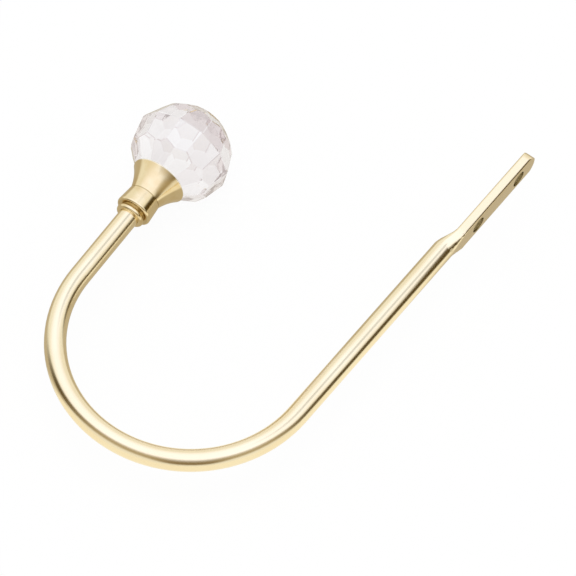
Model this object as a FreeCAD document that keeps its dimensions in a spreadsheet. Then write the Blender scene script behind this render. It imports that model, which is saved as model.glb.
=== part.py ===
import FreeCAD, Part
import math
import os
import Sketcher

# Curtain holdback: a bent rod with a forged wall plate, a turned cup and a faceted crystal ball.
# Frame: the origin is midway between the two screw holes, on the face that lies on the wall.
# +Y points into the wall, the legs of the U run along X with their free ends towards -X, +Z is up.

# Driving sizes, in millimetres and degrees: name, value, what it measures
SIZES = [
    ("rod_dia", 6.3, "diameter of the round rod"),
    ("bend_radius", 38.0, "radius of the bend, at the middle of the rod"),
    ("bend_angle", 175.0, "angle that the bend turns through"),
    ("wall_leg", 94.45, "from midway between the holes to the start of the bend"),
    ("ball_leg", 24.4, "straight rod between the bend and the cup"),
    ("plate_width", 8.0, "width of the forged plate"),
    ("plate_thick", 3.1, "thickness of the forged plate"),
    ("plate_edge", 0.6, "rounding of the plate's long edges"),
    ("plate_margin", 8.4, "from the outer hole to the end of the plate"),
    ("plate_corner", 3.6, "corner radius at the end of the plate"),
    ("tip_round", 1.8, "rounding of the end's edge on the side away from the wall"),
    ("hole_dia", 5.2, "diameter of the screw holes"),
    ("hole_spacing", 21.1, "distance between the screw holes"),
    ("flat_margin", 6.85, "from the inner hole to the start of the forged taper"),
    ("taper_length", 7.2, "length of the taper between the plate and the round rod"),
    ("socket_depth", 8.6, "depth of the cup's socket for the rod"),
    ("socket_clear", 0.05, "gap all round the rod in its socket"),
    ("ring_dia", 9.0, "diameter of the bead ring"),
    ("ring_round", 0.8, "radius of the bead's section"),
    ("ring_width", 2.1, "from the cup's end face to the barrel, groove included"),
    ("groove_dia", 7.6, "diameter at the bottom of the groove behind the bead"),
    ("barrel_dia", 11.2, "largest diameter of the barrel"),
    ("barrel_round", 0.7, "rounding of the barrel's lower edge"),
    ("barrel_length", 5.8, "length of the barrel"),
    ("neck_dia", 10.3, "diameter of the barrel's upper edge"),
    ("neck_step", 0.25, "step from the barrel's upper edge in to the flare"),
    ("flare_length", 7.9, "from the neck to the rim of the cup"),
    ("flare_radius", 20.0, "radius of the flare's hollow curve"),
    ("lip_wall", 0.4, "thickness of the cup's lip at the rim"),
    ("lip_round", 0.3, "rounding of the rim's outer edge"),
    ("seat_depth", 0.9, "depth of the seat below the rim"),
    ("seat_clear", 0.1, "gap round the ball in its seat"),
    ("facet_reach", 14.55, "from the ball's middle to its facets"),
    ("base_reach", 12.6, "from the ball's middle to its ground base"),
    ("low_reach", 14.0, "from the ball's middle to the facets next to the cup"),
    ("facet_count", 12, "facets in each row"),
    ("low_tilt", 47.0, "tilt of the row next to the cup"),
    ("waist_low_tilt", 13.0, "tilt of the row below the girdle"),
    ("waist_high_tilt", 22.0, "tilt of the row above the girdle"),
    ("high_tilt", 48.0, "tilt of the second row above the girdle"),
    ("crown_tilt", 70.0, "tilt of the row round the top facet"),
    ("ball_turn", 10.0, "turn of the ball about its own axis, as it was glued"),
    ("blank_allowance", 3.0, "thickness ground off the ball's blank"),
    ("cut_allowance", 2.0, "how far cuts run past the metal"),
]

# How far along the forged taper its sections stand, between the ends
TAPER_STATIONS = (0.2, 0.4, 0.6, 0.8)

doc = FreeCAD.newDocument("curtain_holdback")
sheet = doc.addObject("Spreadsheet::Sheet", "dims")
for row, (alias, value, meaning) in enumerate(SIZES, start=1):
    sheet.set(f"A{row}", meaning)
    sheet.set(f"B{row}", str(value))
    sheet.setAlias(f"B{row}", alias)
doc.recompute()

# Places that several pieces share, written with the sheet's sizes
PLATE_END = "(-dims.hole_spacing / 2 - dims.plate_margin)"
TAPER_START = "(dims.hole_spacing / 2 + dims.flat_margin)"
TAPER_END = f"({TAPER_START} + dims.taper_length)"
ROD_MIDDLE = "(-dims.rod_dia / 2)"
BEND_END_X = "(dims.wall_leg + dims.bend_radius * sin(dims.bend_angle))"
BEND_END_Y = f"({ROD_MIDDLE} - dims.bend_radius * (1 - cos(dims.bend_angle)))"
LEG_HEADING = "(360 - dims.bend_angle)"
NECK_AT = "(dims.ring_width + dims.barrel_length)"
RIM_AT = f"({NECK_AT} + dims.flare_length)"
FLOOR_AT = f"({RIM_AT} - dims.seat_depth)"
BALL_AT = f"({FLOOR_AT} + dims.base_reach)"
HALF_PITCH = "(180 / dims.facet_count)"


def size(expression):
    """Present value of an expression of the sheet's sizes."""
    return float(sheet.evalExpression(expression))


def ball_corner(drop):
    """Radius of the ball's corners in its lowest row, at a drop below its middle."""
    return f"((dims.low_reach - {drop} * sin(dims.low_tilt)) / cos(dims.low_tilt) / cos({HALF_PITCH}))"


def along_leg(distance):
    """Point on the ball leg's axis, at a distance past the end of the bend, as two expressions."""
    x = f"{BEND_END_X} + {distance} * cos({LEG_HEADING})"
    y = f"{BEND_END_Y} + {distance} * sin({LEG_HEADING})"
    return x, y


def origin_feature(body, role):
    return next(item for item in body.Origin.OriginFeatures if item.Role == role)


def new_sketch(body, name, plane, offset=None):
    """Sketch on one of the body's own planes, moved along that plane's normal."""
    sketch = body.newObject("Sketcher::SketchObject", name)
    sketch.AttachmentSupport = [(origin_feature(body, plane), "")]
    sketch.MapMode = "FlatFace"
    if offset:
        sketch.setExpression("AttachmentOffset.Base.z", offset)
    return sketch


def bind(sketch, expression, kind, *places):
    """Dimension in a sketch, bound to an expression."""
    number = sketch.addConstraint(Sketcher.Constraint(kind, *places, size(expression)))
    sketch.setExpression(f"Constraints[{number}]", expression)


def place_point(sketch, item, end, x, y):
    """Ties one point of a sketch to two expressions, measured from the sketch's origin."""
    bind(sketch, x, "DistanceX", -1, 1, item, end)
    bind(sketch, y, "DistanceY", -1, 1, item, end)


def arc_between(start, end, radius, turns_left):
    """Arc of less than half a turn from one point to another."""
    chord = end - start
    normal = FreeCAD.Vector(-chord.y, chord.x, 0).normalize()
    reach = math.sqrt(radius ** 2 - chord.Length ** 2 / 4)
    centre = (start + end) / 2 + normal * (reach if turns_left else -reach)
    first, last = (start, end) if turns_left else (end, start)
    angles = [math.atan2(point.y - centre.y, point.x - centre.x) for point in (first, last)]
    return Part.ArcOfCircle(Part.Circle(centre, FreeCAD.Vector(0, 0, 1), radius), *angles)


def draw_outline(sketch, corners, arcs=None):
    """Closed outline. Corners are pairs of expressions; arcs gives a side's radius and turning."""
    arcs = arcs or {}
    points = [FreeCAD.Vector(size(x), size(y), 0) for x, y in corners]
    ends = []
    for side, start in enumerate(points):
        end = points[(side + 1) % len(points)]
        if side in arcs:
            radius, turns_left = arcs[side]
            sketch.addGeometry(arc_between(start, end, size(radius), turns_left))
            ends.append((1, 2) if turns_left else (2, 1))
        else:
            sketch.addGeometry(Part.LineSegment(start, end))
            ends.append((1, 2))
    for side, (first, last) in enumerate(ends):
        following = (side + 1) % len(ends)
        sketch.addConstraint(Sketcher.Constraint("Coincident", side, last, following, ends[following][0]))
        place_point(sketch, side, first, *corners[side])
        if side in arcs:
            bind(sketch, arcs[side][0], "Radius", side)


def draw_flat(sketch, width, thick, corner):
    """Flat section with round corners, its one face on the wall and its width upright."""
    near, far = f"-({corner})", f"({corner}) - ({thick})"
    high, low = f"({width}) / 2 - ({corner})", f"({corner}) - ({width}) / 2"
    middles = [(near, low), (near, high), (far, high), (far, low)]
    quarter = math.pi / 2
    for turn, (x, y) in enumerate(middles):
        circle = Part.Circle(FreeCAD.Vector(size(x), size(y), 0), FreeCAD.Vector(0, 0, 1), size(corner))
        sketch.addGeometry(Part.ArcOfCircle(circle, (turn - 1) * quarter, turn * quarter))
    arcs = sketch.Geometry
    for turn, arc in enumerate(arcs):
        sketch.addGeometry(Part.LineSegment(arc.EndPoint, arcs[(turn + 1) % 4].StartPoint))
    for turn, (x, y) in enumerate(middles):
        side = turn + 4
        sketch.addConstraint(Sketcher.Constraint("Tangent", turn, 2, side, 1))
        sketch.addConstraint(Sketcher.Constraint("Tangent", side, 2, (turn + 1) % 4, 1))
        place_point(sketch, turn, 3, x, y)
        bind(sketch, corner, "Radius", turn)


def add(body, kind, name, profile):
    feature = body.newObject(f"PartDesign::{kind}", name)
    feature.Profile = profile
    return feature


def cut_both_ways(body, name, sketch, length):
    """Pocket that reaches equally far on both sides of its sketch."""
    pocket = add(body, "Pocket", name, sketch)
    pocket.SideType = "Symmetric"
    pocket.setExpression("Length", length)
    return pocket


# Hook rod: the round rod and its bend
hook = doc.addObject("PartDesign::Body", "hook_rod")
path = new_sketch(hook, "rod_path", "XY_Plane")
leg_end_x, leg_end_y = along_leg("(dims.ball_leg + dims.socket_depth)")
bend_start = FreeCAD.Vector(size("dims.wall_leg"), size(ROD_MIDDLE), 0)
bend_end = FreeCAD.Vector(size(BEND_END_X), size(BEND_END_Y), 0)
bend_middle = FreeCAD.Vector(size("dims.wall_leg"), size(f"{ROD_MIDDLE} - dims.bend_radius"), 0)
bend_circle = Part.Circle(bend_middle, FreeCAD.Vector(0, 0, 1), size("dims.bend_radius"))
quarter = math.pi / 2
path.addGeometry(Part.LineSegment(FreeCAD.Vector(size(TAPER_END), size(ROD_MIDDLE), 0), bend_start))
path.addGeometry(Part.ArcOfCircle(bend_circle, quarter - math.radians(size("dims.bend_angle")), quarter))
path.addGeometry(Part.LineSegment(bend_end, FreeCAD.Vector(size(leg_end_x), size(leg_end_y), 0)))
path.addConstraint(Sketcher.Constraint("Tangent", 0, 2, 1, 2))
path.addConstraint(Sketcher.Constraint("Tangent", 1, 1, 2, 1))
path.addConstraint(Sketcher.Constraint("Horizontal", 0))
place_point(path, 0, 1, TAPER_END, ROD_MIDDLE)
bind(path, "dims.wall_leg", "DistanceX", -1, 1, 0, 2)
bind(path, "dims.bend_radius", "Radius", 1)
place_point(path, 2, 2, leg_end_x, leg_end_y)


def draw_rod_section(name):
    """Round section of the rod where the forged taper ends."""
    sketch = new_sketch(hook, name, "YZ_Plane", TAPER_END)
    centre = FreeCAD.Vector(size(ROD_MIDDLE), 0, 0)
    sketch.addGeometry(Part.Circle(centre, FreeCAD.Vector(0, 0, 1), size("dims.rod_dia / 2")))
    sketch.addConstraint(Sketcher.Constraint("PointOnObject", 0, 3, -1))
    bind(sketch, ROD_MIDDLE, "DistanceX", -1, 1, 0, 3)
    bind(sketch, "dims.rod_dia", "Diameter", 0)
    return sketch


rod = add(hook, "AdditivePipe", "rod", draw_rod_section("rod_section"))
rod.Spine = (path, ["Edge1", "Edge2", "Edge3"])

# Hook rod: the forged plate, pulled out towards the plate's end
plate_section = new_sketch(hook, "plate_section", "YZ_Plane", TAPER_START)
draw_flat(plate_section, "dims.plate_width", "dims.plate_thick", "dims.plate_edge")
plate = add(hook, "Pad", "plate", plate_section)
plate.Reversed = True
plate.setExpression("Length", f"{TAPER_START} - {PLATE_END}")

# Hook rod: the forged taper, flush on the wall side, with an easy start and end
taper_sections = []
taper_profile = new_sketch(hook, "taper_plate_end", "YZ_Plane", TAPER_START)
draw_flat(taper_profile, "dims.plate_width", "dims.plate_thick", "dims.plate_edge")
for station in TAPER_STATIONS:
    eased = station ** 2 * (3 - 2 * station)
    section = new_sketch(
        hook, f"taper_{round(station * 100)}", "YZ_Plane", f"{TAPER_START} + {station} * dims.taper_length"
    )
    draw_flat(
        section,
        f"dims.plate_width + {eased:.4f} * (dims.rod_dia - dims.plate_width)",
        f"dims.plate_thick + {eased:.4f} * (dims.rod_dia - dims.plate_thick)",
        f"dims.plate_edge + {eased:.4f} * (dims.rod_dia / 2 - dims.plate_edge)",
    )
    taper_sections.append(section)
taper_sections.append(draw_rod_section("taper_rod_end"))
taper = add(hook, "AdditiveLoft", "taper", taper_profile)
taper.Sections = taper_sections

# Hook rod: the plate's end, rounded on the side away from the wall
tip = new_sketch(hook, "tip_waste", "XY_Plane")
tip_inner = f"{PLATE_END} + dims.tip_round"
tip_outer = f"{PLATE_END} - dims.cut_allowance"
tip_side = "-dims.plate_thick - dims.cut_allowance"
draw_outline(
    tip,
    [
        (PLATE_END, "dims.tip_round - dims.plate_thick"),
        (tip_inner, "-dims.plate_thick"),
        (tip_inner, tip_side),
        (tip_outer, tip_side),
        (tip_outer, "dims.tip_round - dims.plate_thick"),
    ],
    {0: ("dims.tip_round", True)},
)
cut_both_ways(hook, "tip_rounding", tip, "dims.plate_width + 2 * dims.cut_allowance")

# Hook rod: round corners at the plate's end
corner = new_sketch(hook, "corner_waste", "XZ_Plane")
corner_inner = "(dims.plate_width / 2 - dims.plate_corner)"
corner_outer = "(dims.plate_width / 2 + dims.cut_allowance)"
draw_outline(
    corner,
    [
        (f"{PLATE_END} + dims.plate_corner", "dims.plate_width / 2"),
        (PLATE_END, corner_inner),
        (f"{PLATE_END} - dims.cut_allowance", corner_inner),
        (f"{PLATE_END} - dims.cut_allowance", corner_outer),
        (f"{PLATE_END} + dims.plate_corner", corner_outer),
    ],
    {0: ("dims.plate_corner", True)},
)
THROUGH_PLATE = "2 * (dims.plate_thick + dims.cut_allowance)"
upper_corner = cut_both_ways(hook, "upper_corner", corner, THROUGH_PLATE)
both_corners = hook.newObject("PartDesign::Mirrored", "both_corners")
both_corners.Originals = [upper_corner]
both_corners.MirrorPlane = (origin_feature(hook, "XY_Plane"), [""])
hook.Tip = both_corners

# Hook rod: the two screw holes
hole_circles = new_sketch(hook, "hole_circles", "XZ_Plane")
for number, side in enumerate(("-", "")):
    place = f"{side}dims.hole_spacing / 2"
    centre = FreeCAD.Vector(size(place), 0, 0)
    hole_circles.addGeometry(Part.Circle(centre, FreeCAD.Vector(0, 0, 1), size("dims.hole_dia / 2")))
    hole_circles.addConstraint(Sketcher.Constraint("PointOnObject", number, 3, -1))
    bind(hole_circles, place, "DistanceX", -1, 1, number, 3)
    bind(hole_circles, "dims.hole_dia", "Diameter", number)
screw_holes = cut_both_ways(hook, "screw_holes", hole_circles, THROUGH_PLATE)


def stand_on_leg(body, distance):
    """Turns a body's X axis along the ball leg, with its origin at a distance past the bend."""
    x, y = along_leg(distance)
    body.setExpression("Placement.Base.x", x)
    body.setExpression("Placement.Base.y", y)
    body.setExpression("Placement.Rotation.Angle", LEG_HEADING)


# Ball cup: one turned profile with the bead, the barrel, the flare, the seat and the socket
cup = doc.addObject("PartDesign::Body", "ball_cup")
stand_on_leg(cup, "dims.ball_leg")
socket_radius = "(dims.rod_dia / 2 + dims.socket_clear)"
bead_middle = "(dims.ring_dia / 2 - dims.ring_round)"
bead_drop = f"(dims.groove_dia / 2 - {bead_middle})"
mouth_radius = f"({ball_corner('(dims.base_reach - dims.seat_depth)')} + dims.seat_clear)"
rim_radius = f"({mouth_radius} + dims.lip_wall)"
cup_outline = new_sketch(cup, "cup_outline", "XY_Plane")
draw_outline(
    cup_outline,
    [
        ("0", socket_radius),
        ("0", bead_middle),
        (f"dims.ring_round + sqrt(dims.ring_round ^ 2 - {bead_drop} ^ 2)", "dims.groove_dia / 2"),
        ("dims.ring_width", "dims.groove_dia / 2"),
        ("dims.ring_width", "dims.barrel_dia / 2 - dims.barrel_round"),
        ("dims.ring_width + dims.barrel_round", "dims.barrel_dia / 2"),
        (NECK_AT, "dims.neck_dia / 2"),
        (NECK_AT, "dims.neck_dia / 2 - dims.neck_step"),
        (f"{RIM_AT} - dims.lip_round", rim_radius),
        (RIM_AT, f"{rim_radius} - dims.lip_round"),
        (RIM_AT, mouth_radius),
        (FLOOR_AT, f"{ball_corner('dims.base_reach')} + dims.seat_clear"),
        (FLOOR_AT, "0"),
        ("dims.socket_depth", "0"),
        ("dims.socket_depth", socket_radius),
    ],
    {
        1: ("dims.ring_round", False),
        4: ("dims.barrel_round", False),
        7: ("dims.flare_radius", True),
        8: ("dims.lip_round", False),
    },
)
turned_cup = add(cup, "Revolution", "turned_cup", cup_outline)
turned_cup.ReferenceAxis = (cup_outline, ["H_Axis"])

# Crystal ball: a round blank, ground flat row by row
ball = doc.addObject("PartDesign::Body", "crystal_ball")
stand_on_leg(ball, f"(dims.ball_leg + {BALL_AT})")
BLANK_RADIUS = "(dims.facet_reach + dims.blank_allowance)"
blank = ball.newObject("PartDesign::AdditiveSphere", "blank")
blank.setExpression("Radius", BLANK_RADIUS)


def grind(name, tilt, reach, turn="0"):
    """Flat facet at a tilt towards the ball's top, a reach from its middle and a turn about its axis."""
    waste = new_sketch(ball, f"{name}_waste", "XY_Plane")
    waste.setExpression(
        "AttachmentOffset", f"placement(vector(0; 0; 0); rotationx({turn}) * rotationz(-({tilt})))"
    )
    outer = f"2 * {BLANK_RADIUS}"
    draw_outline(waste, [(f"-{outer}", reach), (outer, reach), (outer, outer), (f"-{outer}", outer)])
    return cut_both_ways(ball, name, waste, f"2 * {outer}")


def grind_row(name, tilt, reach, turn):
    """Row of equal facets round the ball's axis."""
    first = grind(f"{name}_first", tilt, reach, turn)
    ring = ball.newObject("PartDesign::PolarPattern", f"{name}_row")
    ring.Originals = [first]
    ring.Axis = (origin_feature(ball, "X_Axis"), [""])
    ring.Angle = 360
    ring.setExpression("Occurrences", "dims.facet_count")
    ball.Tip = ring


BETWEEN = f"dims.ball_turn + {HALF_PITCH}"
grind_row("low", "-dims.low_tilt", "dims.low_reach", BETWEEN)
grind_row("waist_low", "-dims.waist_low_tilt", "dims.facet_reach", "dims.ball_turn")
grind_row("waist_high", "dims.waist_high_tilt", "dims.facet_reach", "dims.ball_turn")
grind_row("high", "dims.high_tilt", "dims.facet_reach", BETWEEN)
grind_row("crown", "dims.crown_tilt", "dims.facet_reach", "dims.ball_turn")
grind("top", "90", "dims.facet_reach")
grind("base", "-90", "dims.base_reach")

# Every object is checked before anything is written
doc.recompute()
for item in doc.Objects:
    faults = [state for state in item.State if state in ("Invalid", "Error")]
    if faults:
        raise RuntimeError(f"{item.Label} did not build: {faults}")
os.makedirs("parts", exist_ok=True)
for body in (hook, cup, ball):
    shape = body.Shape
    if shape.isNull() or not shape.isValid() or len(shape.Solids) != 1:
        raise RuntimeError(f"{body.Label} is not one sound solid")
for body in (hook, cup, ball):
    body.Shape.exportStep(f"parts/{body.Label}.step")
    print(f"{body.Label}: {body.Shape.Volume:.1f} cubic mm, {len(body.Shape.Faces)} faces")
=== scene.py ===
# %% [markdown]
# # Curtain holdback: a bent gold rod with a cut crystal ball
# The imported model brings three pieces: the bent rod with its forged wall plate, the turned cup and
# the faceted ball. Their shapes are right already, so this lesson is about finishes, about one piece
# that is worth a second pass, the ball, and about a small studio that shows polished metal and glass.

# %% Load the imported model
import math
import bpy
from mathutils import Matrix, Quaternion, Vector


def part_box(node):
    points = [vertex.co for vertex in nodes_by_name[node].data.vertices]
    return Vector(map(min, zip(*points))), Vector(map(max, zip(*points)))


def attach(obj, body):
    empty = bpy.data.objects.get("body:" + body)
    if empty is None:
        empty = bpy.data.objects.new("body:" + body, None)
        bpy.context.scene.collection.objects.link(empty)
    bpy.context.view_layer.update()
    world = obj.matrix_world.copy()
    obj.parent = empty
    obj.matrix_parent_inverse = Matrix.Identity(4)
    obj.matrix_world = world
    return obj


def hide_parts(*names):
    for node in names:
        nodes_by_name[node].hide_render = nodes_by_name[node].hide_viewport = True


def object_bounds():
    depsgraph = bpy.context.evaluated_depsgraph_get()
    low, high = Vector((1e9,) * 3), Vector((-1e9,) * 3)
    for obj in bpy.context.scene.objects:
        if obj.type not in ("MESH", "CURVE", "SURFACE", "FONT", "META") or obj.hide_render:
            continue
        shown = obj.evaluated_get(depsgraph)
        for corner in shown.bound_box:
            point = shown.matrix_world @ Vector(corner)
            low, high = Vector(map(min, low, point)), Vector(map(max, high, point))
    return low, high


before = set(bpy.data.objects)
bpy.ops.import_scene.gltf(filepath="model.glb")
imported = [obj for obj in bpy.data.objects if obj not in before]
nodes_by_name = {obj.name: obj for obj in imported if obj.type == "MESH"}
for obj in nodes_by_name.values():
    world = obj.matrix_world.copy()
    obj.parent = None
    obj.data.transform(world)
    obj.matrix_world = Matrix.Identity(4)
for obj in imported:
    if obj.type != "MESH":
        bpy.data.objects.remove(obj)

MM = 0.001
cad_low, cad_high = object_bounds()
print("pieces:", sorted(nodes_by_name), "size in mm:", [round(x / MM, 1) for x in cad_high - cad_low])

# %% [markdown]
# ## Camera
# The picture is taken with a long lens from above, a little turned. A camera could be placed by
# rotation angles, but a place, a target on the object and a roll are easier to read and to change.

# %% Camera
CAMERA_PLACE = Vector((339.821, 146.547, 531.341)) * MM
CAMERA_TARGET = Vector((63.296, -30.252, 0.0)) * MM
CAMERA_ROLL = math.radians(5.632)
CAMERA_LENS = 135.92
CAMERA_SENSOR = 36.0
NEAREST_SEEN = 10.0 * MM

bpy.ops.object.select_all(action="DESELECT")
bpy.ops.object.camera_add(location=CAMERA_PLACE)
camera = bpy.context.object
camera.name = "photo_camera"
camera.data.lens = CAMERA_LENS
camera.data.sensor_width = CAMERA_SENSOR
camera.data.clip_start = NEAREST_SEEN
aim = (CAMERA_TARGET - CAMERA_PLACE).to_track_quat("-Z", "Y")
camera.rotation_mode = "QUATERNION"
camera.rotation_quaternion = aim @ Quaternion((0, 0, 1), CAMERA_ROLL)
bpy.context.scene.camera = camera
print("camera at", [round(x, 3) for x in camera.location])

# %% [markdown]
# ## Helpers for finishes
# Every finish is a small network of nodes. A few helpers keep the networks short: each adds one node
# or a few, feeds them numbers or sockets and hands back the result.

# %% Node helpers
def feed(tree, socket, value):
    """Sets an input to a number or a colour, or links a socket to it."""
    if isinstance(value, bpy.types.NodeSocket):
        tree.links.new(value, socket)
    else:
        socket.default_value = value


def add_node(tree, kind, **inputs):
    """New node. Its inputs are named with underscores and take numbers, colours or sockets."""
    node = tree.nodes.new(f"ShaderNode{kind}")
    for name, value in inputs.items():
        feed(tree, node.inputs[name.replace("_", " ")], value)
    return node


def math_node(tree, operation, first, second=0.0):
    """Result of a sum, a product or the like."""
    node = tree.nodes.new("ShaderNodeMath")
    node.operation = operation
    feed(tree, node.inputs[0], first)
    feed(tree, node.inputs[1], second)
    return node.outputs["Value"]


def length_of(tree, x, y):
    """Length of a vector given by two sockets."""
    joined = add_node(tree, "CombineXYZ", X=x, Y=y)
    node = tree.nodes.new("ShaderNodeVectorMath")
    node.operation = "LENGTH"
    tree.links.new(joined.outputs["Vector"], node.inputs[0])
    return node.outputs["Value"]


def value_range(tree, factor, low, high):
    """Stretches a factor between 0 and 1 to a range of numbers."""
    return add_node(tree, "MapRange", Value=factor, To_Min=low, To_Max=high).outputs["Result"]


def soft_step(tree, value, start, end):
    """Rises smoothly from 0 at the start to 1 at the end."""
    node = add_node(tree, "MapRange", Value=value, From_Min=start, From_Max=end)
    node.interpolation_type = "SMOOTHSTEP"
    return node.outputs["Result"]


def blend(tree, factor, first, second):
    """Mixes two colours."""
    node = tree.nodes.new("ShaderNodeMix")
    node.data_type = "RGBA"
    feed(tree, node.inputs["Factor"], factor)
    colour_inputs = [socket for socket in node.inputs if socket.type == "RGBA"]
    feed(tree, colour_inputs[0], first)
    feed(tree, colour_inputs[1], second)
    return next(socket for socket in node.outputs if socket.type == "RGBA")


def object_place(tree):
    """The place on the piece, as a vector and as its three numbers."""
    spot = add_node(tree, "TexCoord").outputs["Object"]
    return spot, add_node(tree, "SeparateXYZ", Vector=spot).outputs


# %% Finish helpers
def new_finish(name):
    """New material, with its node tree and its main shader."""
    finish = bpy.data.materials.new(name)
    finish.use_nodes = True
    return finish, finish.node_tree, finish.node_tree.nodes["Principled BSDF"]


def new_glowing_finish(name):
    """New material with some glow. Rays aimed at the glow would leave specks in the glass, so none are."""
    finish, tree, shader = new_finish(name)
    finish.cycles.emission_sampling = "NONE"
    return finish, tree, shader


def mix_to_output(tree, factor, first, second):
    """Ends a finish with a mix of two shaders."""
    mixed = add_node(tree, "MixShader", Fac=factor)
    tree.links.new(first, mixed.inputs[1])
    tree.links.new(second, mixed.inputs[2])
    tree.links.new(mixed.outputs["Shader"], tree.nodes["Material Output"].inputs["Surface"])


def dress(piece, finish):
    """Gives a piece one finish all over."""
    piece.data.materials.clear()
    piece.data.materials.append(finish)
    print(piece.name, "wears", finish.name)


# %% [markdown]
# ## Satin gold on the rod
# The rod is steel with a pale gold plating over a brushed surface. The brush marks run along the rod,
# also round the bend. A texture stretched along one axis would run the wrong way there, so the
# coordinates are unrolled first: one number runs along the rod's middle line, one across it. The
# walls of the screw holes get a darker colour, which is painted shade.

# %% Satin gold
ROD_DIAMETER = 6.3 * MM
BEND_RADIUS = 38.0 * MM
GRAIN_ALONG = 90.0
GRAIN_ACROSS = 5200.0
GRAIN_DETAIL = 4.0
GRAIN_RELIEF = 0.12
RELIEF_DEPTH = 0.02 * MM
SATIN_LIGHT = (0.95, 0.83, 0.57, 1)
SATIN_DEEP = (0.93, 0.79, 0.52, 1)
SATIN_CLOUDS = 60.0
SATIN_CLOUD_EDGES = (0.3, 0.7)
SATIN_ROUGHNESS = (0.15, 0.23)
CLOUD_DETAIL = 3.0
HOLE_PAINTED_SHADE = (0.62, 0.56, 0.40, 1)
HOLE_PLACES = (-10.55 * MM, 10.55 * MM)
HOLE_REACH = 2.65 * MM


def along_the_rod(tree, place, bend_start):
    """Vector of the place along the rod, across it and above its middle plane."""
    past_bend = math_node(tree, "SUBTRACT", place["X"], bend_start)
    off_middle = math_node(tree, "ADD", place["Y"], BEND_RADIUS + ROD_DIAMETER / 2)
    in_bend = math_node(tree, "MAXIMUM", past_bend, 0.0)
    arc = math_node(tree, "MULTIPLY", math_node(tree, "ARCTAN2", in_bend, off_middle), BEND_RADIUS)
    on_leg = math_node(tree, "MINIMUM", past_bend, 0.0)
    leg = math_node(tree, "MULTIPLY", on_leg, math_node(tree, "SIGN", off_middle))
    along = math_node(tree, "ADD", arc, leg)
    across = length_of(tree, in_bend, off_middle)
    return add_node(tree, "CombineXYZ", X=along, Y=across, Z=place["Z"]).outputs["Vector"]


def inside_holes(tree, place):
    """1 on the walls of the two screw holes, 0 elsewhere."""
    offsets = [math_node(tree, "SUBTRACT", place["X"], hole_x) for hole_x in HOLE_PLACES]
    distances = [length_of(tree, offset, place["Z"]) for offset in offsets]
    return math_node(tree, "LESS_THAN", math_node(tree, "MINIMUM", *distances), HOLE_REACH)


def satin_gold(bend_start):
    """Pale gold with brush marks along the rod and painted shade on the walls of the screw holes."""
    finish, tree, shader = new_finish("satin_gold")
    _, place = object_place(tree)
    route = along_the_rod(tree, place, bend_start)
    stretched = add_node(tree, "Mapping", Vector=route, Scale=(GRAIN_ALONG, GRAIN_ACROSS, GRAIN_ACROSS))
    brushed = add_node(tree, "TexNoise", Vector=stretched.outputs["Vector"], Scale=1.0, Detail=GRAIN_DETAIL)
    grain = brushed.outputs["Fac"]
    cloud = add_node(tree, "TexNoise", Vector=route, Scale=SATIN_CLOUDS, Detail=CLOUD_DETAIL).outputs["Fac"]
    tone = blend(tree, soft_step(tree, cloud, *SATIN_CLOUD_EDGES), SATIN_DEEP, SATIN_LIGHT)
    # Painted shade: the walls of the screw holes are coloured darker.
    feed(tree, shader.inputs["Base Color"], blend(tree, inside_holes(tree, place), tone, HOLE_PAINTED_SHADE))
    feed(tree, shader.inputs["Roughness"], value_range(tree, grain, *SATIN_ROUGHNESS))
    bump = add_node(tree, "Bump", Height=grain, Strength=GRAIN_RELIEF, Distance=RELIEF_DEPTH)
    feed(tree, shader.inputs["Normal"], bump.outputs["Normal"])
    shader.inputs["Metallic"].default_value = 1.0
    return finish


rod_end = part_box("hook_rod")[1].x
dress(nodes_by_name["hook_rod"], satin_gold(rod_end - BEND_RADIUS - ROD_DIAMETER / 2))

# %% [markdown]
# ## Polished gold on the cup
# The cup is turned and polished before plating, so it mirrors the room sharply. A plain mirror looks
# too clean, so faint rings from the lathe and a breath of uneven polish are added, both very shallow.
# The groove behind the bead and the corner above the barrel get a darker colour, which is painted
# shade, and the lip gets a paler one, which is a painted highlight. They could be painted by hand, but
# on a turned piece a height above its foot finds them all round.

# %% Polished gold
CUP_LIGHT = (0.90, 0.76, 0.48, 1)
CUP_DEEP = (0.84, 0.67, 0.38, 1)
CUP_CLOUDS = 220.0
CUP_CLOUD_EDGES = (0.35, 0.65)
CUP_ROUGHNESS = (0.08, 0.15)
BALL_LEG_HEADING = math.radians(185.0)
LATHE_RINGS = 2600.0
LATHE_RELIEF = 0.10
RECESS_PAINTED_SHADE = (0.50, 0.38, 0.18, 1)
GROOVE_BAND = (1.35 * MM, 2.2 * MM)
CORNER_BAND = (7.8 * MM, 8.4 * MM)
BAND_EDGE = 0.25 * MM
LIP_PAINTED_HIGHLIGHT = (0.99, 0.93, 0.76, 1)
LIP_HEIGHTS = (15.25 * MM, 15.55 * MM)


def narrow_band(tree, height, low, high):
    """1 between two heights, with soft edges."""
    above_low = soft_step(tree, height, low, low + BAND_EDGE)
    above_high = soft_step(tree, height, high - BAND_EDGE, high)
    return math_node(tree, "SUBTRACT", above_low, above_high)


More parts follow.
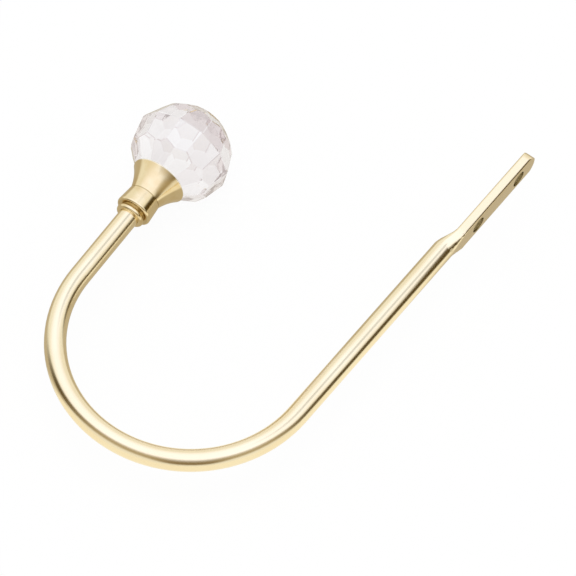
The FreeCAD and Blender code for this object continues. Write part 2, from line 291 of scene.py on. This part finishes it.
def polished_gold(cup_axis, cup_foot):
    """Deeper gold with lathe rings, painted shade in two recesses and a painted highlight on the lip."""
    finish, tree, shader = new_finish("polished_gold")
    spot, place = object_place(tree)
    along_x = math_node(tree, "MULTIPLY", place["X"], cup_axis.x)
    along_y = math_node(tree, "MULTIPLY", place["Y"], cup_axis.y)
    height = math_node(tree, "SUBTRACT", math_node(tree, "ADD", along_x, along_y), cup_foot)
    rings = tree.nodes.new("ShaderNodeTexNoise")
    rings.noise_dimensions = "1D"
    feed(tree, rings.inputs["W"], height)
    rings.inputs["Scale"].default_value = LATHE_RINGS
    cloud = add_node(tree, "TexNoise", Vector=spot, Scale=CUP_CLOUDS, Detail=CLOUD_DETAIL).outputs["Fac"]
    tone = blend(tree, soft_step(tree, cloud, *CUP_CLOUD_EDGES), CUP_DEEP, CUP_LIGHT)
    # Painted shade: the groove and the corner above the barrel are coloured darker.
    for band in (GROOVE_BAND, CORNER_BAND):
        tone = blend(tree, narrow_band(tree, height, *band), tone, RECESS_PAINTED_SHADE)
    # Painted highlight: the lip is coloured paler.
    tone = blend(tree, soft_step(tree, height, *LIP_HEIGHTS), tone, LIP_PAINTED_HIGHLIGHT)
    feed(tree, shader.inputs["Base Color"], tone)
    feed(tree, shader.inputs["Roughness"], value_range(tree, cloud, *CUP_ROUGHNESS))
    bump = add_node(tree, "Bump", Height=rings.outputs["Fac"], Strength=LATHE_RELIEF, Distance=RELIEF_DEPTH)
    feed(tree, shader.inputs["Normal"], bump.outputs["Normal"])
    shader.inputs["Metallic"].default_value = 1.0
    return finish


cup = nodes_by_name["ball_cup"]
cup_axis = Vector((math.cos(BALL_LEG_HEADING), math.sin(BALL_LEG_HEADING), 0.0))
cup_foot = min(vertex.co.dot(cup_axis) for vertex in cup.data.vertices)
print("cup's foot along its axis in mm:", round(cup_foot / MM, 2))
dress(cup, polished_gold(cup_axis, cup_foot))

# %% [markdown]
# ## The crystal ball
# A cut crystal has flat facets, but the grinder leaves a hairline of a bevel on every edge, and those
# hairlines are what glitters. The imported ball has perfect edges, so a copy of it is merged, its flat
# triangles are dissolved into whole facets and all its edges get a bevel of a fifth of a millimetre.

# %% Cut the ball's edges
EDGE_BEVEL = 0.2 * MM
MERGE_DISTANCE = 0.002 * MM
SAME_FACET = math.radians(0.5)

cut_ball = bpy.data.objects.new("cut_ball", nodes_by_name["crystal_ball"].data.copy())
bpy.context.scene.collection.objects.link(cut_ball)
bpy.ops.object.select_all(action="DESELECT")
cut_ball.select_set(True)
bpy.context.view_layer.objects.active = cut_ball
bpy.ops.mesh.customdata_custom_splitnormals_clear()
bpy.ops.object.mode_set(mode="EDIT")
bpy.ops.mesh.select_all(action="SELECT")
bpy.ops.mesh.remove_doubles(threshold=MERGE_DISTANCE)
bpy.ops.mesh.dissolve_limited(angle_limit=SAME_FACET)
bpy.ops.mesh.select_all(action="SELECT")
bpy.ops.mesh.bevel(offset=EDGE_BEVEL, offset_type="OFFSET", segments=1, affect="EDGES")
bpy.ops.object.mode_set(mode="OBJECT")
bpy.ops.object.shade_flat()
print("faces with bevels:", len(cut_ball.data.polygons))

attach(cut_ball, "root")
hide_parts("crystal_ball")

# %% [markdown]
# ## A tone for each facet
# Each facet is polished by itself and lets a slightly different amount of light through, and so does
# each bevel, so some edges show as fine dark lines and others as bright ones. The facets on the upper
# side of the ball also get a painted shade, so they are darkest. A noise texture would run across the
# edges, so a number is stored on every face instead. It comes from the direction that the face points
# in, through a sine that swings many times over the ball, plus the painted shade.

# %% Facet tones
SMALLEST_FACET = 3.0 * MM * MM
SWINGS = Vector((37.0, 61.0, 83.0))
FACET_SPREAD = 0.17
BEVEL_SPREAD = 0.35
SHADED_SIDE = Vector((-0.31, 0.35, 0.88))
SHADE_FROM = math.cos(math.radians(32.0))
SHADE_GAIN = 5.0

facet_tones = cut_ball.data.attributes.new("facet_tone", "FLOAT", "FACE")
facet_count = 0
for face in cut_ball.data.polygons:
    swing = 1.0 + math.sin(face.normal.dot(SWINGS))
    tone = BEVEL_SPREAD * swing
    if face.area > SMALLEST_FACET:
        # Painted shade: facets that face the upper side are made darker.
        shade = max(0.0, face.normal.dot(SHADED_SIDE) - SHADE_FROM) * SHADE_GAIN
        tone = FACET_SPREAD * swing + shade
        facet_count += 1
    facet_tones.data[face.index].value = min(tone, 1.0)
print("facets:", facet_count, "bevels:", len(cut_ball.data.polygons) - facet_count)

# %% [markdown]
# ## Clear crystal
# The glass is clear with a breath of rose, and a deeper rose grey where the facets carry painted shade.
# The main shader bends the light by itself and only needs its colour and its index. Light that bounces
# about inside more than a few times would need very many more bounces to find its way out, so from
# then on it counts as a glow that follows the facet's tone, painted shade included.

# %% Clear crystal
GLASS_CLEAR = (0.99, 0.98, 0.98, 1)
GLASS_ROSE_AND_SHADE = (0.58, 0.47, 0.475, 1)
GLASS_CLOUDS = 90.0
GLASS_CLOUD_DETAIL = 2.0
GLASS_UNEVEN = 0.05
GLASS_ROUGHNESS = (0.0, 0.02)
GLASS_INDEX = 1.52
GLOW_LIGHT = (0.88, 0.83, 0.82, 1)
GLOW_DEEP = (0.44, 0.39, 0.385, 1)
GLOW_GAIN = 2.5
MOST_BOUNCES = 4.5


def clear_crystal():
    """Glass whose facets differ a little and carry painted shade on top, with a glow for the deepest light.
    """
    finish, tree, shader = new_glowing_finish("clear_crystal")
    spot, _ = object_place(tree)
    clouds = add_node(tree, "TexNoise", Vector=spot, Scale=GLASS_CLOUDS, Detail=GLASS_CLOUD_DETAIL)
    cloud = clouds.outputs["Fac"]
    stored = tree.nodes.new("ShaderNodeAttribute")
    stored.attribute_name = "facet_tone"
    facet_tone = stored.outputs["Fac"]
    uneven = value_range(tree, cloud, -GLASS_UNEVEN, GLASS_UNEVEN)
    # Facets with painted shade are tinted towards the deep rose grey.
    rose_and_shade = math_node(tree, "ADD", facet_tone, uneven)
    feed(tree, shader.inputs["Base Color"], blend(tree, rose_and_shade, GLASS_CLEAR, GLASS_ROSE_AND_SHADE))
    feed(tree, shader.inputs["Roughness"], value_range(tree, cloud, *GLASS_ROUGHNESS))
    shader.inputs["Transmission Weight"].default_value = 1.0
    shader.inputs["IOR"].default_value = GLASS_INDEX
    depth = add_node(tree, "LightPath").outputs["Ray Depth"]
    too_deep = math_node(tree, "GREATER_THAN", depth, MOST_BOUNCES)
    glow_tone = math_node(tree, "MINIMUM", math_node(tree, "MULTIPLY", facet_tone, GLOW_GAIN), 1.0)
    glow = add_node(tree, "Emission", Color=blend(tree, glow_tone, GLOW_LIGHT, GLOW_DEEP), Strength=1.0)
    mix_to_output(tree, too_deep, shader.outputs["BSDF"], glow.outputs["Emission"])
    return finish


dress(cut_ball, clear_crystal())

# %% [markdown]
# ## Studio floor
# Metal and glass show the room more than themselves, so the room is part of the lesson. It starts with
# a white floor just under the ball. Strong lamps could make it white, but they would bleach the gold,
# so to the camera the floor glows almost white by itself and keeps a soft shadow. In gloss it is
# dimmer past a slanted edge, on the side away from the wall, which gives the rod its tan edges.

# %% Floor
FLOOR_SIZE = 6.0
FLOOR_GAP = 0.3 * MM
FLOOR_TONE = (0.9, 0.9, 0.9, 1)
FLOOR_ROUGHNESS = 0.9
FLOOR_WHITE = (1.0, 1.0, 1.0, 1)
FLOOR_BRIGHT = (1.0, 0.97, 0.88, 1)
FLOOR_DIM = (0.54, 0.48, 0.37, 1)
DIM_SLANT = 0.8
DIM_EDGE = (14.0 * MM, 44.0 * MM)
GLOW_TO_CAMERA = 0.94
GLOW_IN_GLASS = 0.8


def pale_floor():
    """White to the camera and through glass, with a dimmer part in gloss."""
    finish, tree, shader = new_glowing_finish("pale_floor")
    shader.inputs["Base Color"].default_value = FLOOR_TONE
    shader.inputs["Roughness"].default_value = FLOOR_ROUGHNESS
    shader.inputs["Specular IOR Level"].default_value = 0.0
    _, place = object_place(tree)
    past_edge = math_node(tree, "ADD", place["Y"], math_node(tree, "MULTIPLY", place["X"], DIM_SLANT))
    in_gloss = blend(tree, soft_step(tree, past_edge, *DIM_EDGE), FLOOR_DIM, FLOOR_BRIGHT)
    path = add_node(tree, "LightPath").outputs
    mirrored = math_node(tree, "SUBTRACT", path["Is Glossy Ray"], path["Is Transmission Ray"])
    glow = add_node(tree, "Emission", Color=blend(tree, mirrored, FLOOR_WHITE, in_gloss), Strength=1.0)
    to_camera = math_node(tree, "MULTIPLY", path["Is Camera Ray"], GLOW_TO_CAMERA)
    in_glass = math_node(tree, "MULTIPLY", path["Is Transmission Ray"], GLOW_IN_GLASS)
    share = math_node(tree, "MAXIMUM", math_node(tree, "MAXIMUM", to_camera, in_glass), mirrored)
    mix_to_output(tree, share, shader.outputs["BSDF"], glow.outputs["Emission"])
    return finish


floor_level = cad_low.z - FLOOR_GAP
bpy.ops.object.select_all(action="DESELECT")
bpy.ops.mesh.primitive_plane_add(size=FLOOR_SIZE, location=(0, 0, floor_level))
floor = bpy.context.object
floor.name = "studio_floor"
dress(floor, pale_floor())

# %% [markdown]
# ## Ring screen
# A shiny rod in an all-white room looks like flat paint: it needs something dark to mirror. A
# photographer sets dark cards round it. Here one ring-shaped screen with soft edges does that, which
# is easier to place than many cards. In front it is half dark, with a darker patch where the camera
# stands. It is darkest on both sides, taller at the far end of one, and low and pale at the back. Only
# gloss and glass see it, and through glass it is pale rose, as what the ball gathers from the room.

# %% Ring screen
RING_MIDDLE = Vector((60.0, -40.0, 0.0)) * MM
RING_RADIUS = 150.0 * MM
RING_TOP = 260.0 * MM
RING_SIDES = 96
FRONT_HEADING = math.radians(52.0)
CAMERA_OFFSET = math.radians(21.0)
CAMERA_TURNS = (math.radians(6.0), math.radians(22.0))
SIDE_TURNS = (math.radians(38.0), math.radians(72.0))
FAR_TURNS = (math.radians(66.0), math.radians(78.0))
BACK_TURNS = (math.radians(88.0), math.radians(125.0))
CAMERA_TONE = (0.20, 0.135, 0.045, 1)
FRONT_TONE = (0.45, 0.38, 0.26, 1)
SIDE_TONE = (0.085, 0.055, 0.010, 1)
BACK_TONE = (0.90, 0.89, 0.85, 1)
GLASS_TONE = (0.76, 0.69, 0.69, 1)
CAMERA_FOOT = (5.0 * MM, 38.0 * MM)
FRONT_FOOT = (22.0 * MM, 60.0 * MM)
SIDE_FOOT = (-14.0 * MM, 6.0 * MM)
CAMERA_TOP = (20.0 * MM, 250.0 * MM)
FRONT_TOP = (70.0 * MM, 250.0 * MM)
SIDE_TOP = (45.0 * MM, 92.0 * MM)
FAR_TOP = (65.0 * MM, 130.0 * MM)
BACK_TOP = (0.0 * MM, 25.0 * MM)


def turn_round_ring(tree):
    """Angle round the ring from its front, and the height."""
    spot, _ = object_place(tree)
    turned = add_node(tree, "VectorRotate", Vector=spot, Center=RING_MIDDLE, Angle=-FRONT_HEADING)
    place = add_node(tree, "SeparateXYZ", Vector=turned.outputs["Vector"]).outputs
    sideways = math_node(tree, "SUBTRACT", place["Y"], RING_MIDDLE.y)
    forward = math_node(tree, "SUBTRACT", place["X"], RING_MIDDLE.x)
    return math_node(tree, "ARCTAN2", sideways, forward), place["Z"]


def soft_edge(tree, first, *changes):
    """Start and end of a soft edge, changed step by step: each change is a factor and its own edge."""
    edge = first
    for factor, other in changes:
        edge = [value_range(tree, factor, low, high) for low, high in zip(edge, other)]
    return edge


def ring_finish():
    """Screen with soft edges. Where it isn't shown, it is clear."""
    finish, tree, _ = new_glowing_finish("ring_screen")
    turn, height = turn_round_ring(tree)
    off_camera = math_node(tree, "ABSOLUTE", math_node(tree, "ADD", turn, CAMERA_OFFSET))
    in_front = soft_step(tree, off_camera, *CAMERA_TURNS)
    aside = soft_step(tree, off_camera, *SIDE_TURNS)
    far_side = soft_step(tree, turn, *FAR_TURNS)
    at_back = soft_step(tree, math_node(tree, "ABSOLUTE", turn), *BACK_TURNS)
    tone = blend(tree, in_front, CAMERA_TONE, FRONT_TONE)
    tone = blend(tree, aside, tone, SIDE_TONE)
    tone = blend(tree, at_back, tone, BACK_TONE)
    in_glass = add_node(tree, "LightPath").outputs["Is Transmission Ray"]
    glow = add_node(tree, "Emission", Color=blend(tree, in_glass, tone, GLASS_TONE), Strength=1.0)
    foot = soft_edge(tree, CAMERA_FOOT, (in_front, FRONT_FOOT), (aside, SIDE_FOOT))
    top = soft_edge(
        tree, CAMERA_TOP, (in_front, FRONT_TOP), (aside, SIDE_TOP), (far_side, FAR_TOP), (at_back, BACK_TOP)
    )
    shown = math_node(tree, "SUBTRACT", soft_step(tree, height, *foot), soft_step(tree, height, *top))
    clear = add_node(tree, "BsdfTransparent")
    mix_to_output(tree, shown, clear.outputs["BSDF"], glow.outputs["Emission"])
    return finish


bpy.ops.object.select_all(action="DESELECT")
bpy.ops.mesh.primitive_cylinder_add(
    vertices=RING_SIDES,
    radius=RING_RADIUS,
    depth=RING_TOP - floor_level,
    end_fill_type="NOTHING",
    location=(RING_MIDDLE.x, RING_MIDDLE.y, (RING_TOP + floor_level) / 2),
)
ring = bpy.context.object
ring.name = "ring_screen"
bpy.ops.object.transform_apply(location=True)
dress(ring, ring_finish())
ring.visible_camera = False
ring.visible_shadow = False
ring.visible_diffuse = False

# %% [markdown]
# ## Sky
# The light comes evenly from all round. A lamp on every side could do that, but an even sky is simpler
# and leaves no hard shadows. In gloss it is brightest overhead, where a large soft box would hang, with
# one duller spot that draws the faint line along the rod's bright side.

# %% Sky
SKY_LIGHT = (0.95, 0.95, 0.95, 1)
SKY_WHITE = (1.0, 1.0, 1.0, 1)
SKY_LOW = (0.92, 0.92, 0.90, 1)
SKY_HIGH = (1.20, 1.26, 1.55, 1)
SKY_DULL = (0.66, 0.72, 0.83, 1)
SKY_IN_GLASS = (0.98, 0.965, 0.96, 1)
HIGH_RISE = (0.4, 0.97)
DULL_SPOT = Vector((-0.45, 0.10, 0.885))
DULL_EDGE = (math.cos(math.radians(14.0)), math.cos(math.radians(3.0)))


def sky_colour(tree):
    """White to the camera, brightest overhead in gloss, with the duller spot."""
    direction = add_node(tree, "TexCoord").outputs["Generated"]
    rise = add_node(tree, "SeparateXYZ", Vector=direction).outputs["Z"]
    nearness = tree.nodes.new("ShaderNodeVectorMath")
    nearness.operation = "DOT_PRODUCT"
    feed(tree, nearness.inputs[0], direction)
    feed(tree, nearness.inputs[1], DULL_SPOT)
    in_gloss = blend(tree, soft_step(tree, rise, *HIGH_RISE), SKY_LOW, SKY_HIGH)
    in_gloss = blend(tree, soft_step(tree, nearness.outputs["Value"], *DULL_EDGE), in_gloss, SKY_DULL)
    path = add_node(tree, "LightPath").outputs
    colour = blend(tree, path["Is Camera Ray"], SKY_LIGHT, SKY_WHITE)
    colour = blend(tree, path["Is Glossy Ray"], colour, in_gloss)
    return blend(tree, path["Is Transmission Ray"], colour, SKY_IN_GLASS)


world = bpy.data.worlds.new("studio_sky")
world.use_nodes = True
bpy.context.scene.world = world
background = world.node_tree.nodes["Background"]
feed(world.node_tree, background.inputs["Color"], sky_colour(world.node_tree))
print("sky:", world.name)

# %% [markdown]
# ## Lamp
# One large weak lamp overhead adds the soft shadow on the floor. It is hidden from gloss and glass,
# because its square shape would show there.

# %% Lamp
LAMP_PLACE = (0.05, -0.08, 1.1)
LAMP_SIZE = 0.7
LAMP_POWER = 2.4

bpy.ops.object.light_add(type="AREA", location=LAMP_PLACE)
lamp = bpy.context.object
lamp.name = "soft_lamp"
lamp.data.size = LAMP_SIZE
lamp.data.energy = LAMP_POWER
lamp.visible_glossy = False
lamp.visible_transmission = False
bpy.context.scene.view_settings.view_transform = "Standard"
print("stage pieces:", floor.name, ring.name, "lamp:", lamp.name)
